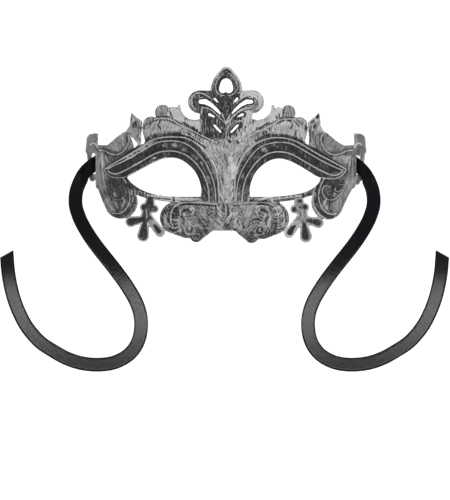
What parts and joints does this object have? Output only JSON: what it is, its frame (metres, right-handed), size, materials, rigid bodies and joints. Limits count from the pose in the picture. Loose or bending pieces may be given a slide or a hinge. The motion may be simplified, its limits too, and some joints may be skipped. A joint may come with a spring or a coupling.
{
  "type": "venetian mask",
  "caption": "Eye mask with a pierced scrolling crest, leaf-shaped lobes and hanging leaves, laid face up with a flat ribbon threaded through each side slot.",
  "frame": {"origin": "middle of the mask's plan box, ribbons not counted, on the floor it lies on", "axes": "+X across the mask to the wearer's left, which is the right of the picture; +Y toward the crest; +Z out of the face, upward as it lies"},
  "size_m": [0.3099, 0.2077, 0.0636],
  "materials": {
    "moulding": "charcoal moulding dry-brushed with silver on its high places",
    "ribbon": "black satin, flat woven"
  },
  "bodies": {
    "root": {"mask": "moulding", "ribbon_left": "ribbon", "ribbon_right": "ribbon"}
  },
  "joints": []
}
